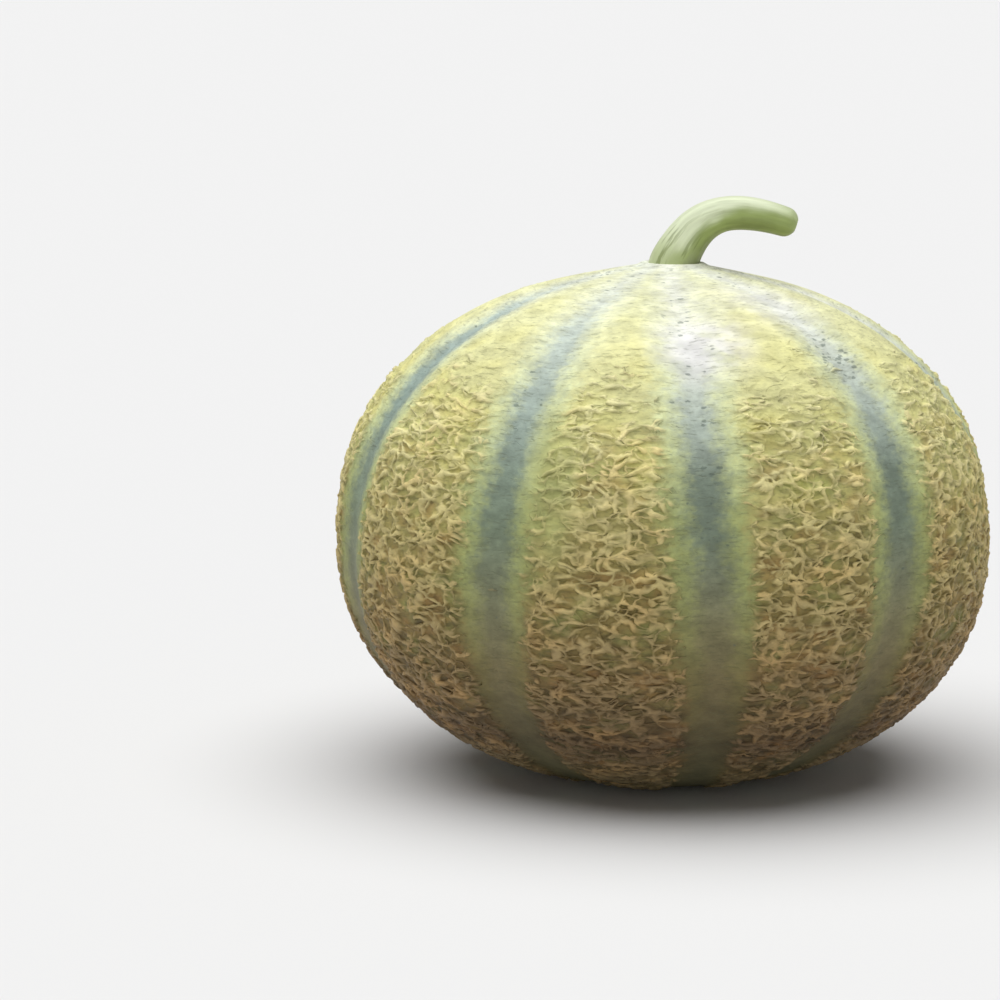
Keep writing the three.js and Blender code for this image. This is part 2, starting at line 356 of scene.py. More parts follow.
def skinFrame(tree, place, form, look):
    # the place as a direction, laid out so that cells come out wide and low all round the fruit
    halfHeight = (form["topHeight"] + form["bottomHeight"]) / 2
    girth = form["girthRadius"]
    offset = calcVector(tree, "SUBTRACT", place, (0, 0, form["restHeight"]))
    unit = calcVector(tree, "NORMALIZE", calcVector(tree, "DIVIDE", offset, (girth, girth, halfHeight)))
    sideways, backward, rise = parted(tree, unit)
    level = calc(tree, "SQRT", calc(tree, "SUBTRACT", 1.0, times(tree, rise, rise)))
    level = calc(tree, "MAXIMUM", level, look["poleLevel"])
    sine = calc(tree, "DIVIDE", sideways, level)
    cosine = calc(tree, "DIVIDE", backward, level)      # minus the cosine of the longitude
    heightAngle = calc(tree, "ARCSINE", rise)
    layout = joined(tree, sideways, backward, times(tree, heightAngle, look["flatness"]))
    across = joined(tree, times(tree, cosine, -1.0), sine, 0.0)
    fall = times(tree, rise, -1.0)
    along = joined(tree, times(tree, fall, sine), times(tree, fall, cosine), look["flatness"])
    spot = calcVector(tree, "SCALE", layout, scale=girth)
    return {"spot": spot, "across": across, "along": along, "heightAngle": heightAngle}


def warped(tree, spot, size, reach, shift=0.0):
    # pushes a pattern about by a coarse noise
    moved = calcVector(tree, "ADD", spot, (shift, shift, shift))
    push = noise(tree, moved, size, detail=1.0, output="Color")
    push = calcVector(tree, "SUBTRACT", push, (0.5, 0.5, 0.5))
    return calcVector(tree, "ADD", spot, calcVector(tree, "SCALE", push, scale=2 * reach))


def cordDistance(tree, here, look):
    # metres along the skin to the nearest border between two cells, and how level that border runs
    spot = warped(tree, here["spot"], look["waveSize"], look["waveReach"])
    spot = warped(tree, spot, look["wriggleSize"], look["wriggleReach"])
    settings = {"Vector": spot, "Scale": 1 / look["cellWidth"], "Randomness": 1.0}
    nearest = addNode(tree, "ShaderNodeTexVoronoi", settings, feature="F1").outputs["Position"]
    second = addNode(tree, "ShaderNodeTexVoronoi", settings, feature="F2").outputs["Position"]
    normal = calcVector(tree, "NORMALIZE", calcVector(tree, "SUBTRACT", second, nearest))
    middle = calcVector(tree, "SCALE", calcVector(tree, "ADD", nearest, second), scale=0.5)
    gap = calcVector(tree, "DOT_PRODUCT", calcVector(tree, "SUBTRACT", middle, spot), normal)
    steepAcross = calc(tree, "ABSOLUTE", calcVector(tree, "DOT_PRODUCT", normal, here["across"]))
    steepAlong = calc(tree, "ABSOLUTE", calcVector(tree, "DOT_PRODUCT", normal, here["along"]))
    squares = calc(tree, "MULTIPLY_ADD", steepAcross, steepAcross, times(tree, steepAlong, steepAlong))
    steepness = calc(tree, "MAXIMUM", calc(tree, "SQRT", squares), look["leastSteepness"])
    levelShare = calc(tree, "DIVIDE", steepAlong, plus(tree, steepAcross, steepAlong))
    return calc(tree, "DIVIDE", gap, steepness), levelShare


def cordProfile(tree, distance, halfWidth, crest):
    # a soft fold in section: 1 on the crest, 0 from the foot outwards
    share = calc(tree, "DIVIDE", distance, halfWidth)
    arch = calc(tree, "SUBTRACT", 1.0, times(tree, share, share), clamp=True)
    return calc(tree, "POWER", arch, crest)


def netRelief(tree, place, show, form, look):
    here = skinFrame(tree, place, form, look)
    spot = here["spot"]

    # the net is ragged at its edge, grows unevenly, and leaves smooth places
    ragged = evenly(tree, noise(tree, spot, **look["ragged"]), look["raggedAmount"])
    drift = evenly(tree, noise(tree, spot, **look["drift"]), look["driftAmount"])
    growth = plus(tree, ragged, drift, times(tree, show, look["showWeight"]))
    smooth = noise(tree, calcVector(tree, "ADD", spot, look["smoothShift"]), **look["smooth"])
    smooth = ramp(tree, smooth, *look["smoothSpan"])
    growth = calc(tree, "MULTIPLY_ADD", smooth, -look["smoothLoss"], growth)

    # where the net is young, only the level cracks have opened
    distance, levelShare = cordDistance(tree, here, look)
    early = ramp(tree, levelShare, *look["levelSpan"], *look["levelGain"])
    grown = ramp(tree, plus(tree, growth, early), *look["growthSpan"])

    # the main cords swell and thin along their way, and sink in places
    swell = ramp(tree, noise(tree, spot, **look["swell"]), *look["swellSpan"], *look["swellShares"])
    half = times(tree, swell, look["cordHalfWidth"], ramp(tree, grown, 0.0, look["wideFrom"]))
    half = calc(tree, "MAXIMUM", half, look["leastHalfWidth"])
    whole = ramp(tree, noise(tree, spot, **look["breaks"]), *look["breakSpan"], *look["breakShares"])
    main = times(tree, cordProfile(tree, distance, half, look["crest"]), whole)

    # wavy cords lie along the places where a noise passes its middle value
    reach = look["wriggleReach"] * look["squiggleWriggle"]
    loose = warped(tree, spot, look["wriggleSize"], reach, look["squiggleShift"])
    fromMiddle = calc(tree, "SUBTRACT", noise(tree, loose, **look["squiggle"]), 0.5)
    fromMiddle = calc(tree, "ABSOLUTE", fromMiddle)
    squiggle = cordProfile(tree, fromMiddle, look["squiggleWidth"], look["crest"])
    squiggle = times(tree, squiggle, look["squiggleShare"])
    height = calc(tree, "SMOOTH_MAX", main, squiggle, look["joinSoftness"])
    return {"height": times(tree, height, grown), "growth": grown, **here}


def geometryTree(name):
    tree = bpy.data.node_groups.new(name, "GeometryNodeTree")
    tree.interface.new_socket("Geometry", in_out="INPUT", socket_type="NodeSocketGeometry")
    tree.interface.new_socket("Geometry", in_out="OUTPUT", socket_type="NodeSocketGeometry")
    return tree, addNode(tree, "NodeGroupInput").outputs[0], addNode(tree, "NodeGroupOutput").inputs[0]


def raiseNet(piece, form, look):
    tree, coming, going = geometryTree("corkyNet")
    place = addNode(tree, "GeometryNodeInputPosition").outputs[0]
    normal = addNode(tree, "GeometryNodeInputNormal").outputs[0]
    kept = addNode(tree, "GeometryNodeInputNamedAttribute", {"Name": "netShow"}, data_type="FLOAT")
    net = netRelief(tree, place, kept.outputs[0], form, look)
    offset = calcVector(tree, "SCALE", normal, scale=times(tree, net["height"], look["cordHeight"]))
    moved = addNode(tree, "GeometryNodeSetPosition", {"Geometry": coming, "Offset": offset}).outputs[0]
    tree.links.new(moved, going)
    chooseOnly(piece)
    bpy.ops.object.modifier_add(type="NODES")
    raising = piece.modifiers[-1]
    raising.node_group = tree
    bpy.ops.object.modifier_apply(modifier=raising.name)
    print("net raised on", len(piece.data.polygons), "faces")


def makeFruit(form, spread, look):
    deselectAll()
    bpy.ops.mesh.primitive_ico_sphere_add(subdivisions=form["blankSubdivisions"], radius=1)
    fruit = takeNew("melonFruit")
    writePoints(fruit, skinPoints(readPoints(fruit), form))
    markRibs(fruit, form, spread)
    raiseNet(fruit, form, look)
    chooseOnly(fruit)
    bpy.ops.object.modifier_add(type="DECIMATE")
    thinning = fruit.modifiers[-1]
    thinning.ratio = form["triangles"] / len(fruit.data.polygons)
    bpy.ops.object.modifier_apply(modifier=thinning.name)
    points = readPoints(fruit)
    points[:, 2] = np.maximum(points[:, 2], 0)      # no cord reaches below the flat spot
    writePoints(fruit, points)
    markRibs(fruit, form, spread)
    bpy.ops.object.shade_smooth()
    return fruit


# colours are out of 255, and heights are angles above the fullest ring, in radians
rindLook = {
    # by height in degrees, from the blossom end (-90) to the stalk end (90); the darkening down to -40 is
    # partly the skin's own browner tone and partly painted shade, the palest crown is partly a painted
    # highlight, and below -40 the blossom end is paler again
    "shadedBands": {
        "cord": {
            -74: (178, 160, 116), -40: (114, 93, 66), -20: (161, 138, 96), 0: (197, 180, 122),
            14: (212, 199, 138), 28: (235, 227, 164), 65: (236, 236, 190),
        },
        "gap": {
            -74: (138, 124, 80), -40: (78, 61, 39), -20: (119, 100, 59), 0: (145, 130, 75),
            14: (173, 164, 101), 28: (209, 205, 134), 65: (232, 233, 184),
        },
        "margin": {
            -74: (146, 140, 98), -40: (88, 78, 53), -20: (124, 115, 70), 0: (154, 160, 101),
            14: (168, 176, 114), 28: (204, 212, 156), 65: (231, 233, 196),
        },
        "core": {
            -74: (140, 138, 104), -40: (93, 85, 59), -22: (116, 105, 71), -10: (126, 121, 86),
            10: (118, 131, 113), 22: (120, 133, 118), 34: (178, 190, 178), 62: (231, 233, 218),
        },
        "blueCore": {
            -74: (140, 138, 104), -40: (93, 85, 59), -20: (117, 109, 76), 10: (123, 137, 113),
            34: (142, 160, 150), 58: (176, 192, 184), 76: (224, 229, 214),
        },
    },
    # the smooth stripes along the sutures
    "stripes": {
        "coreReach": (0.0012, 0.0084),      # metres from a suture: all core, none
        "marginReach": (0.0066, 0.0130),    # all margin, none
        "wander": dict(size=0.014, detail=1.0),
        "wanderReach": 0.0050,
        "feather": dict(size=0.0024, detail=4.0, roughness=0.65),
        "featherReach": 0.0080,
        "narrowHeights": (0.6, 1.25),       # they narrow from the one to the other,
        "narrowing": 0.0022,                # by this much on each side
    },
    # soft patches of other tints
    "patches": {
        "green": dict(tint=(136, 148, 84), size=0.010),
        "greenHeights": (-0.5, -0.05),
        "greenAmounts": (0.15, 0.55),
        "tan": dict(tint=(170, 128, 78), size=0.008, shift=(0.4, 0.2, 0.1)),
        "tanAmount": 0.4,
        "fadeHeights": (0.35, 0.75),        # green and tan fade out between these
        "orange": dict(tint=(206, 162, 100), size=0.011),
        "orangeAmount": 0.3,
        "yellow": dict(tint=(232, 222, 108), size=0.015, shift=(0.1, 0.6, 0.3)),
        "yellowHeights": (0.0, 0.5),
        "yellowReach": (0.006, 0.014),      # metres from a suture: none, all
        "yellowAmount": 0.2,
    },
    # light and dark mottling of the bare skin, of the cords, and of all together
    "skinMottle": dict(size=0.0016, detail=3.0, roughness=0.7),
    "skinShades": (0.86, 1.12),
    "cordMottle": dict(size=0.0020, detail=3.0, roughness=0.6),
    "cordShades": (0.84, 1.16),
    "wideMottle": dict(size=0.0056),
    "wideShades": (0.84, 1.18),
    # painted shade between the cords
    "gapShade": {
        "squash": (1.0, 1.0, 1.5),
        "pattern": dict(size=0.0030, detail=1.0),
        "span": (0.52, 0.66),
        "depth": 0.34,
    },
    # painted highlight on the lit front of the shoulder
    "shoulderHighlight": {
        "tint": (240, 238, 238),
        "middle": 0.003,                    # whole within this distance
        "patches": (                        # on the shoulder: place, reach, strength
            ((0.0088, -0.0480, 0.1080), 0.017, 0.8),
            ((0.0230, -0.0260, 0.1170), 0.022, 0.4),
        ),
        "breakUp": dict(size=0.006, detail=3.0),
        "breakUpSpan": (0.3, 0.6),
        "breakUpShares": (0.4, 1.0),
    },
    "scratches": {
        "tint": (96, 100, 70),
        "squash": (1.0, 1.0, 3.0),
        "pattern": dict(size=0.0026, detail=3.0, roughness=0.6),
        "span": (0.55, 0.68),
        "amount": 0.28,
        "depth": 0.1,                       # beside the height of a cord
    },
    "specks": {
        "tint": (88, 102, 92),
        "spacing": 0.0018,
        "crowd": dict(size=0.022, detail=1.0),
        "crowdSpan": (0.42, 0.62),
        "crowdGain": (-0.2, 0.16),
        "patchPlace": (0.0393, -0.0377, 0.1072),
        "patchReach": (0.004, 0.014),
        "patchGain": 0.5,
        "heights": (0.1, 0.8),
        "heightGain": (-0.12, 0.1),
        "chance": (0.6, 1.25),
        "size": 0.6,                        # share of the spacing
        "ragged": dict(size=0.0008),
        "raggedAmount": 0.7,
        "rim": (-0.30, -0.06),
        "reach": (0.0040, 0.0085),          # metres from a suture: all, none
        "amount": 0.6,
    },
    "flank": {                              # the green runs further out beside one stripe
        "tint": (180, 184, 118),
        "place": (-0.0249, -0.0712, 0.0790),
        "squash": (1.0, 0.3, 0.3),
        "reach": (0.002, 0.0085),
        "amount": 0.6,
    },
    "scar": {                               # the blossom scar is dry and brown
        "tint": (118, 88, 58),
        "heights": (-1.53, -1.44),
        "amount": 0.8,
    },
    "corkSpan": (0.12, 0.85),               # heights of a cord: bare skin, all cork
    "crackle": dict(size=0.0007, detail=3.0, roughness=0.7),
    "crackleDepths": (0.1, 0.3),            # on bare skin, on cork
    "finish": dict(roughness=0.6, specular=0.3, bumpDistance=0.0007, bumpStrength=0.9),
}


def shadedBandColours(tree, heightAngle, shadedBands):
    # a ramp from the blossom end to the stalk end, with painted shade low on the fruit and a painted
    # highlight on the crown
    share = calc(tree, "MULTIPLY_ADD", heightAngle, 1 / math.pi, 0.5)
    node = addNode(tree, "ShaderNodeValToRGB", {0: share})
    stops = node.color_ramp.elements
    for number, (degrees, tint) in enumerate(sorted(shadedBands.items())):
        place = (degrees + 90) / 180
        stop = stops[number] if number < 2 else stops.new(place)
        stop.position = place
        stop.color = colour(*tint)
    return node.outputs[0]


def tinted(tree, base, spot, patch, amount, span=(0.45, 0.72)):
    # soft patches of another tint, where a noise rises through the span
    if "shift" in patch:
        spot = calcVector(tree, "ADD", spot, patch["shift"])
    share = ramp(tree, noise(tree, spot, patch["size"]), *span)
    return mixColour(tree, times(tree, share, amount), base, colour(*patch["tint"]))


def stripeDistance(tree, here, gap, look):
    # metres from a suture, made uneven: the stripes wander, narrow upwards and have feathered edges
    wander = evenly(tree, noise(tree, here["spot"], **look["wander"]), look["wanderReach"])
    feather = evenly(tree, noise(tree, here["spot"], **look["feather"]), look["featherReach"])
    narrow = ramp(tree, here["heightAngle"], *look["narrowHeights"], 0.0, look["narrowing"])
    return plus(tree, gap, narrow, plus(tree, wander, feather))


def bareSkin(tree, here, shadedBands, tone, stripes, patches):
    # the skin between the cords, then the margins and the cores of the stripes
    heightAngle = here["heightAngle"]
    green = ramp(tree, heightAngle, *patches["greenHeights"], *patches["greenAmounts"])
    skin = tinted(tree, shadedBands["gap"], here["spot"], patches["green"], green)
    skin = tinted(tree, skin, here["spot"], patches["tan"], patches["tanAmount"])
    skin = mixColour(tree, ramp(tree, heightAngle, *patches["fadeHeights"]), skin, shadedBands["gap"])
    skin = mixColour(tree, ramp(tree, here["edge"], *stripes["marginReach"]), shadedBands["margin"], skin)
    core = mixColour(tree, tone, shadedBands["core"], shadedBands["blueCore"])
    return mixColour(tree, ramp(tree, here["edge"], *stripes["coreReach"]), core, skin)


def shadedBetweenCords(tree, skin, here, look):
    # painted shade: the bare skin between the cords darkened in noisy patches where the net has grown
    squashed = calcVector(tree, "MULTIPLY", here["spot"], look["squash"])
    gapShade = times(tree, ramp(tree, noise(tree, squashed, **look["pattern"]), *look["span"]), here["growth"])
    return calcVector(tree, "SCALE", skin, scale=calc(tree, "MULTIPLY_ADD", gapShade, -look["depth"], 1.0))


def shoulderHighlighted(tree, skin, here, look):
    # painted highlight: near-white patches on the front of the shoulder under the light, broken up by a
    # noise
    left = ramp(tree, noise(tree, here["spot"], **look["breakUp"]), *look["breakUpSpan"], *look["breakUpShares"])
    for centre, reach, strength in look["patches"]:
        away = calcVector(tree, "DISTANCE", here["place"], centre)
        shoulderHighlight = ramp(tree, away, look["middle"], reach, strength, 0.0)
        skin = mixColour(tree, times(tree, shoulderHighlight, left), skin, colour(*look["tint"]))
    return skin


def scratchLines(tree, spot, look):
    # fine level scratches on the bare skin
    squashed = calcVector(tree, "MULTIPLY", spot, look["squash"])
    return ramp(tree, noise(tree, squashed, **look["pattern"]), *look["span"])


def specked(tree, skin, here, look):
    # dark specks in and beside the stripes, crowded on the shoulders and in one rough patch
    spot = here["spot"]
    settings = {"Vector": spot, "Scale": 1 / look["spacing"]}
    cells = addNode(tree, "ShaderNodeTexVoronoi", settings, feature="F1").outputs
    chosen = parted(tree, cells["Color"])[0]
    crowd = ramp(tree, noise(tree, spot, **look["crowd"]), *look["crowdSpan"], *look["crowdGain"])
    toPatch = calcVector(tree, "DISTANCE", here["place"], look["patchPlace"])
    patch = ramp(tree, toPatch, *look["patchReach"], look["patchGain"], 0.0)
    upward = ramp(tree, here["heightAngle"], *look["heights"], *look["heightGain"])
    chance = plus(tree, chosen, plus(tree, crowd, patch, upward))
    size = ramp(tree, chance, *look["chance"], 0.0, look["size"])
    ragged = noise(tree, spot, **look["ragged"])
    ragged = calc(tree, "MULTIPLY_ADD", ragged, look["raggedAmount"], cells["Distance"])
    speck = ramp(tree, calc(tree, "SUBTRACT", size, ragged), *look["rim"])
    speck = times(tree, speck, ramp(tree, here["edge"], *look["reach"], look["amount"], 0.0))
    return mixColour(tree, speck, skin, colour(*look["tint"]))


def ripened(tree, base, here, look):
    # yellow patches high on the ribs
    ripe = ramp(tree, here["heightAngle"], *look["yellowHeights"], 0.0, look["yellowAmount"])
    ripe = times(tree, ramp(tree, here["edge"], *look["yellowReach"]), ripe)
    return tinted(tree, base, here["spot"], look["yellow"], ripe)


def flanked(tree, base, here, look):
    # the wider green beside one stripe
    squashed = calcVector(tree, "MULTIPLY", here["place"], look["squash"])
    centre = [along * squash for along, squash in zip(look["place"], look["squash"])]
    away = calcVector(tree, "DISTANCE", squashed, centre)
    flank = ramp(tree, away, *look["reach"], look["amount"], 0.0)
    return mixColour(tree, flank, base, colour(*look["tint"]))


def makeRind(form, net, look):
    material, tree = startMaterial("nettedRind")
    place = addNode(tree, "ShaderNodeTexCoord").outputs["Object"]
    here = netRelief(tree, place, readAttribute(tree, "netShow"), form, net)
    here["place"] = place
    here["edge"] = stripeDistance(tree, here, readAttribute(tree, "sutureGap"), look["stripes"])
    spot = here["spot"]
    heightAngle = here["heightAngle"]
    # the height ramps hold painted shade low on the fruit and a painted highlight on the crown
    shadedBands = {name: shadedBandColours(tree, heightAngle, band) for name, band in look["shadedBands"].items()}
    tone = readAttribute(tree, "stripeTone")

    skin = bareSkin(tree, here, shadedBands, tone, look["stripes"], look["patches"])
    skin = lighter(tree, skin, noise(tree, spot, **look["skinMottle"]), *look["skinShades"])
    # painted shade between the cords
    skin = shadedBetweenCords(tree, skin, here, look["gapShade"])
    # painted highlight on the shoulder
    skin = shoulderHighlighted(tree, skin, here, look["shoulderHighlight"])
    scratches = look["scratches"]
    scratch = scratchLines(tree, spot, scratches)
    skin = mixColour(tree, times(tree, scratch, scratches["amount"]), skin, colour(*scratches["tint"]))
    skin = specked(tree, skin, here, look["specks"])

    cork = ramp(tree, here["height"], *look["corkSpan"])
    cordTint = tinted(tree, shadedBands["cord"], spot, look["patches"]["orange"], look["patches"]["orangeAmount"])
    cordTint = lighter(tree, cordTint, noise(tree, spot, **look["cordMottle"]), *look["cordShades"])
    base = mixColour(tree, cork, skin, cordTint)
    base = ripened(tree, base, here, look["patches"])
    base = flanked(tree, base, here, look["flank"])
    base = lighter(tree, base, noise(tree, spot, **look["wideMottle"]), *look["wideShades"])
    scar = ramp(tree, heightAngle, *look["scar"]["heights"], look["scar"]["amount"], 0.0)
    base = mixColour(tree, scar, base, colour(*look["scar"]["tint"]))

    # the bump carries the cords on, finer than the mesh has them, with crackle and scratches
    depth = ramp(tree, cork, 0.0, 1.0, *look["crackleDepths"])
    rough = calc(tree, "MULTIPLY_ADD", noise(tree, spot, **look["crackle"]), depth, here["height"])
    rough = calc(tree, "SUBTRACT", rough, times(tree, scratch, scratches["depth"]))
    finishMaterial(tree, base, rough, look["finish"])
    return material


stalkForm = {
    # sideways, up and radius along the stalk, from its foot in the fruit to the cut end
    "stations": (
        (0.0, -0.0030, 0.0066), (0.0, -0.0008, 0.0063), (0.0002, 0.0006, 0.0060),
        (0.0009, 0.0022, 0.0057), (0.0027, 0.0054, 0.0053), (0.0050, 0.0084, 0.0050),
        (0.0082, 0.0109, 0.0046), (0.0122, 0.0123, 0.0042), (0.0166, 0.0125, 0.0041),
        (0.0210, 0.0119, 0.0039), (0.0246, 0.0110, 0.0037), (0.0268, 0.0103, 0.0036),
    ),
    "corners": 5,
    "sidesPerCorner": 4,
    "cornerCosine": 0.9,         # of five times the turn: above it at the corners alone
    "cornerRise": 1.06,          # how far the five corners stand out
    "rim": ((0.0010, 0.97), (0.0012, 0.78), (0.0008, 0.44)),    # along, and share of the end's radius
    "scarInset": 0.12,           # share of the end's radius, for the scar's rim and again for its slope
    "scarDepth": 0.0005,
    "smoothing": 3,
}


def makeStalk(form, fruit):
    crown = fruit["restHeight"] + fruit["topHeight"] + fruit["stalkRise"]
    foot = Vector((fruit["stalkShift"], 0, crown))
    stations = [(foot + Vector((sideways, 0, up)), radius) for sideways, up, radius in form["stations"]]
    place, radius = stations[0]
    sides = form["sidesPerCorner"] * form["corners"]
    deselectAll()
    bpy.ops.mesh.primitive_circle_add(vertices=sides, radius=radius, fill_type="NGON", location=place)
    stalk = takeNew("melonStalk")
    bpy.ops.object.transform_apply(location=True, rotation=True, scale=True)

    # every fourth vertex stands out, which leaves five soft angles along the stalk
    bpy.ops.object.mode_set(mode="EDIT")
    bpy.ops.mesh.select_mode(type="VERT")
    bpy.ops.mesh.select_all(action="DESELECT")
    bpy.ops.object.mode_set(mode="OBJECT")
    for vertex in stalk.data.vertices:
        turn = math.atan2(vertex.co.y - place.y, vertex.co.x - place.x)
        vertex.select = math.cos(form["corners"] * turn) > form["cornerCosine"]
    bpy.ops.object.mode_set(mode="EDIT")
    bpy.ops.transform.resize(value=(form["cornerRise"],) * 3, center_override=place)

    # the end face is drawn out from station to station, turned and narrowed as it goes
    bpy.ops.mesh.select_all(action="SELECT")
    heading = 0.0
    steps = list(zip(stations, stations[1:]))
    for number, ((here, wide), (there, narrow)) in enumerate(steps):
        bpy.ops.mesh.extrude_region_move(TRANSFORM_OT_translate={"value": there - here})
        after = steps[min(number + 1, len(steps) - 1)]
        ahead = (after[1][0] - here).normalized()
        turned = math.atan2(ahead.x, ahead.z)
        bpy.ops.transform.rotate(value=heading - turned, orient_axis="Y", center_override=there)
        heading = turned
        bpy.ops.transform.resize(value=(narrow / wide,) * 3, center_override=there)

    # the cut end: a rounded rim and a shallow dry scar
    end, radius = stations[-1]
    ahead = Vector((math.sin(heading), 0, math.cos(heading)))
    share = 1.0
    for along, rimShare in form["rim"]:
        end = end + ahead * along
        bpy.ops.mesh.extrude_region_move(TRANSFORM_OT_translate={"value": ahead * along})
        bpy.ops.transform.resize(value=(rimShare / share,) * 3, center_override=end)
        share = rimShare
    bpy.ops.mesh.inset(thickness=radius * form["scarInset"], depth=0)
    bpy.ops.mesh.inset(thickness=radius * form["scarInset"], depth=-form["scarDepth"])
    bpy.ops.mesh.select_all(action="SELECT")
    bpy.ops.mesh.normals_make_consistent(inside=False)
    bpy.ops.object.mode_set(mode="OBJECT")
    bpy.ops.object.modifier_add(type="SUBSURF")
    smoothing = stalk.modifiers[-1]
    smoothing.levels = smoothing.render_levels = form["smoothing"]
    bpy.ops.object.modifier_apply(modifier=smoothing.name)
    bpy.ops.object.shade_smooth()
    layGrain(stalk, [place for place, _ in stations])
    return stalk


def layGrain(piece, line):
    # a place on the straightened stalk for each vertex: across, outward and along, in metres
    points = readPoints(piece)
    line = np.array([list(place) for place in line])
    steps = np.diff(line, axis=0)
    lengths = np.linalg.norm(steps, axis=1)
    starts = np.concatenate([[0], np.cumsum(lengths)[:-1]])
    grain = np.zeros_like(points)
    nearest = np.full(len(points), np.inf)
    for number, (start, step, length) in enumerate(zip(line, steps, lengths)):
        share = (points - start) @ step / length ** 2
        last = number == len(steps) - 1
        share = np.clip(share, 0, None if last else 1)
        offset = points - (start + share[:, None] * step)
        gap = np.linalg.norm(offset, axis=1)
        closer = gap < nearest
        nearest[closer] = gap[closer]
        outward = np.array([-step[2], 0, step[0]]) / length
        values = np.stack([offset[:, 1], offset @ outward, starts[number] + share * length], axis=1)
        grain[closer] = values[closer]
    layer = piece.data.attributes.new("grain", "FLOAT_VECTOR", "POINT")
    layer.data.foreach_set("vector", grain.astype(np.float32).ravel())


# along is metres from the stalk's foot, and outward is metres towards the outside of the bend
stalkLook = {
    # the underside colour is painted shade and the pale top colour is a painted highlight, as the stalk is
    # lit from above
    "under": (120, 132, 70),
    "side": (158, 175, 104),
    "sideFrom": (-0.0022, 0.0028),          # outward: all painted shade, all side
    "highlight": (223, 232, 197),               # painted highlight on the outside of the bend, which faces up
    "highlightFrom": (0.0018, 0.0048),          # outward: none, all
    "highlightStarts": (0.003, 0.010),          # along
    "highlightFootShare": 0.3,
    "highlightEnds": (0.028, 0.042),
    "highlightEndShare": 0.25,
    "bendStarts": (0.003, 0.009),           # in the bend the painted highlight reaches further round
    "bendEnds": (0.016, 0.029),
    "bendReach": 0.0024,
    "streaks": dict(size=0.0014, detail=3.0),
    "streakSquash": (1.0, 1.0, 0.12),       # drawn out along the stalk
    "streakReach": 0.0016,
    "streakShades": (0.9, 1.1),
    "blotches": dict(size=0.006),
    "blotchReach": 0.0020,
    "foot": (208, 216, 176),
    "footEnds": (0.005, 0.016),
    "footStreak": 0.007,
    "footAmount": 0.42,
    "line": (112, 124, 62),                 # thin dark lines, most of them low on the stalk
    "lines": dict(size=0.0011),
    "lineSquash": (1.0, 1.0, 0.05),
    "lineSpan": (0.54, 0.66),
    "lineFades": (0.004, 0.018),
    "lineAmounts": (0.6, 0.15),
    "end": (126, 138, 82),
    "endFrom": (0.0385, 0.0415),
    "endAmount": 0.8,
    "finish": dict(roughness=0.4, specular=0.4, bumpDistance=0.0004, bumpStrength=0.5),
}


def makeStalkSkin(look):
    material, tree = startMaterial("freshStalk")
    grain = readAttribute(tree, "grain", "Vector")
    _, outward, along = parted(tree, grain)
    streaks = noise(tree, calcVector(tree, "MULTIPLY", grain, look["streakSquash"]), **look["streaks"])
    blotches = noise(tree, grain, **look["blotches"])

    # from the painted shade of the underside through the side to the painted highlight on the outside of
    # the bend, which faces up
    uneven = calc(tree, "MULTIPLY_ADD", blotches, look["blotchReach"], outward)
    uneven = calc(tree, "MULTIPLY_ADD", streaks, look["streakReach"], uneven)
    bend = ramp(tree, along, *look["bendStarts"], 0.0, look["bendReach"])
    bend = times(tree, bend, ramp(tree, along, *look["bendEnds"], 1.0, 0.0))
    uneven = plus(tree, uneven, bend)
    side = ramp(tree, uneven, *look["sideFrom"])
    base = mixColour(tree, side, colour(*look["under"]), colour(*look["side"]))
    fades = ramp(tree, along, *look["highlightEnds"], 1.0, look["highlightEndShare"])
    fades = times(tree, fades, ramp(tree, along, *look["highlightStarts"], look["highlightFootShare"], 1.0))
    # painted highlight along the top of the stalk
    highlight = times(tree, ramp(tree, uneven, *look["highlightFrom"]), fades)
    base = mixColour(tree, highlight, base, colour(*look["highlight"]))
    base = lighter(tree, base, streaks, *look["streakShades"])

    # the pale foot, the dark lines, and the colour darkening towards the cut end
    fromFoot = calc(tree, "MULTIPLY_ADD", streaks, look["footStreak"], along)
    foot = ramp(tree, fromFoot, *look["footEnds"], look["footAmount"], 0.0)
    base = mixColour(tree, foot, base, colour(*look["foot"]))
    drawn = calcVector(tree, "MULTIPLY", grain, look["lineSquash"])
    lines = ramp(tree, noise(tree, drawn, **look["lines"]), *look["lineSpan"])
    lines = times(tree, lines, ramp(tree, along, *look["lineFades"], *look["lineAmounts"]))
    base = mixColour(tree, lines, base, colour(*look["line"]))
    end = ramp(tree, along, *look["endFrom"], 0.0, look["endAmount"])
    base = mixColour(tree, end, base, colour(*look["end"]))
    finishMaterial(tree, base, streaks, look["finish"])
    return material


studioLook = {
    "floorRadius": 40.0,
    "floorSides": 128,
    "floorTint": 0.76,
    "floorRoughness": 0.9,
    "keyToward": (-0.10, -0.03, 0.97),
    "keySoftness": 80,          # degrees across, as the light's soft source is seen
    "keyStrength": 3.14,
    "skyStrength": 0.16,
    "horizonStrength": 0.86,
    "horizonSpan": (0.02, 0.3),     # sines of the height: all horizon, all sky
}


def makeFloor(look):
    deselectAll()
    bpy.ops.mesh.primitive_circle_add(
        vertices=look["floorSides"], radius=look["floorRadius"], fill_type="NGON")
    floor = takeNew("floor")
    material = bpy.data.materials.new("paleFloor")
    material.use_nodes = True
    shader = material.node_tree.nodes["Principled BSDF"]
    shader.inputs["Base Color"].default_value = (look["floorTint"],) * 3 + (1,)
    shader.inputs["Roughness"].default_value = look["floorRoughness"]
    shader.inputs["Specular IOR Level"].default_value = 0.0
    floor.data.materials.append(material)


cameraSetup = {
    "distance": 0.9,
    "elevation": 9.0,               # degrees
    "pixelsPerRadian": 3682.0,
    "centre": (665.0, 530.5),       # the pixel that the fruit's middle falls on
    "frame": 1000.0,                # pixels across and down
    "sensor": 36.0,
}


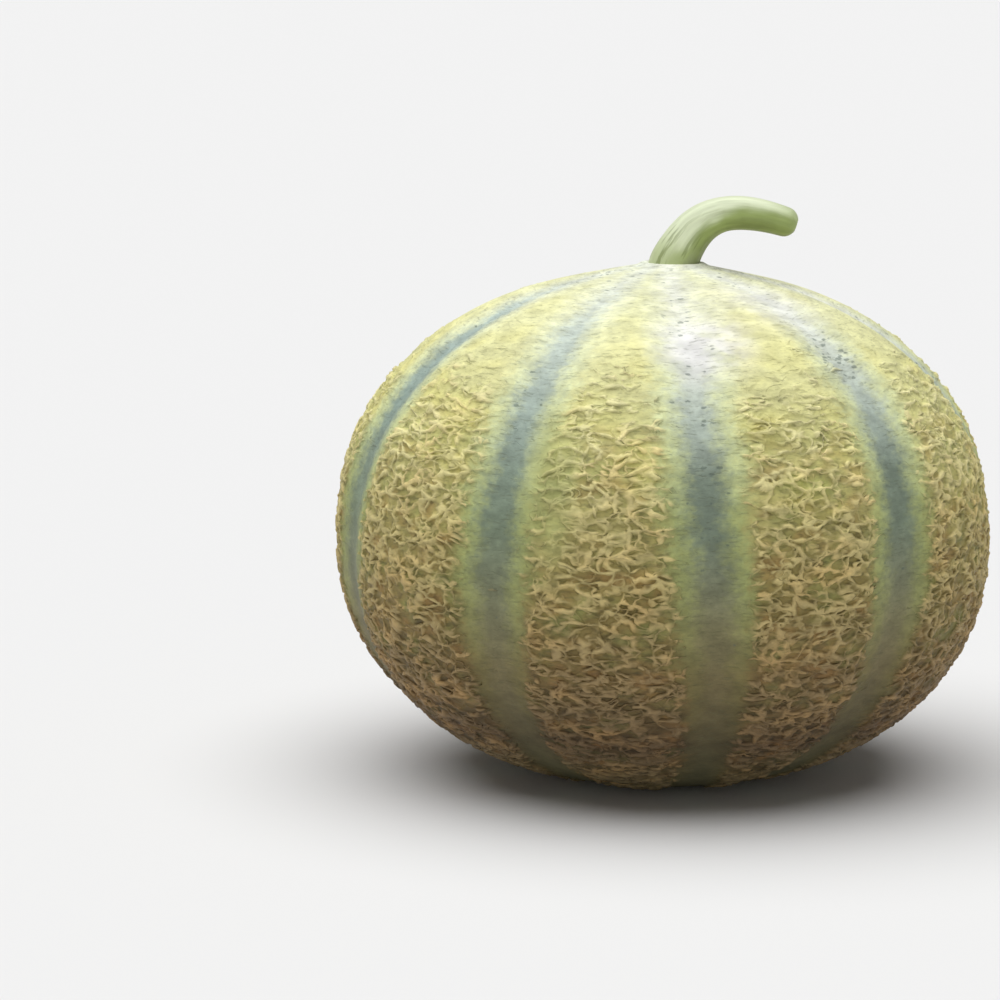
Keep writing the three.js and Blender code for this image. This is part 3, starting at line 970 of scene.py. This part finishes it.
def makeCamera(setup, form):
    data = bpy.data.cameras.new("camera")
    camera = bpy.data.objects.new("camera", data)
    bpy.context.scene.collection.objects.link(camera)
    tilt = math.radians(setup["elevation"])
    back = Vector((0, -math.cos(tilt), math.sin(tilt)))
    camera.location = Vector((0, 0, form["restHeight"])) + back * setup["distance"]
    data.sensor_width = setup["sensor"]
    data.lens = setup["pixelsPerRadian"] / setup["frame"] * setup["sensor"]
    middle = setup["frame"] / 2
    turn = math.atan((setup["centre"][0] - middle) / setup["pixelsPerRadian"])
    lift = math.atan((setup["centre"][1] - middle) / setup["pixelsPerRadian"])
    camera.rotation_euler = (math.pi / 2 - tilt + lift, 0, turn)
    bpy.context.scene.camera = camera


def makeLight(look):
    data = bpy.data.lights.new("softKey", "SUN")
    data.angle = math.radians(look["keySoftness"])
    data.energy = look["keyStrength"]
    light = bpy.data.objects.new("softKey", data)
    bpy.context.scene.collection.objects.link(light)
    toward = Vector(look["keyToward"])
    light.location = toward
    light.rotation_euler = toward.to_track_quat("Z", "Y").to_euler()
    world = bpy.data.worlds.new("studio")
    bpy.context.scene.world = world
    world.use_nodes = True
    tree = world.node_tree
    # bright along the horizon, so that the floor runs out into it
    direction = addNode(tree, "ShaderNodeTexCoord").outputs["Generated"]
    height = calc(tree, "ABSOLUTE", parted(tree, direction)[2])
    strength = ramp(tree, height, *look["horizonSpan"], look["horizonStrength"], look["skyStrength"])
    background = tree.nodes["Background"]
    background.inputs["Color"].default_value = (1, 1, 1, 1)
    tree.links.new(strength, background.inputs["Strength"])
    bpy.context.scene.view_settings.view_transform = "Standard"


print("camera, floor and light")
makeCamera(cameraSetup, fruitForm)
makeFloor(studioLook)
makeLight(studioLook)

print("fruit")
fruit = makeFruit(fruitForm, netSpread, netLook)
fruit.data.materials.append(makeRind(fruitForm, netLook, rindLook))
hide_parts("fruit")
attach(fruit, "root")

print("stalk")
stalk = makeStalk(stalkForm, fruitForm)
stalk.data.materials.append(makeStalkSkin(stalkLook))
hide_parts("stalk")
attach(stalk, "root")
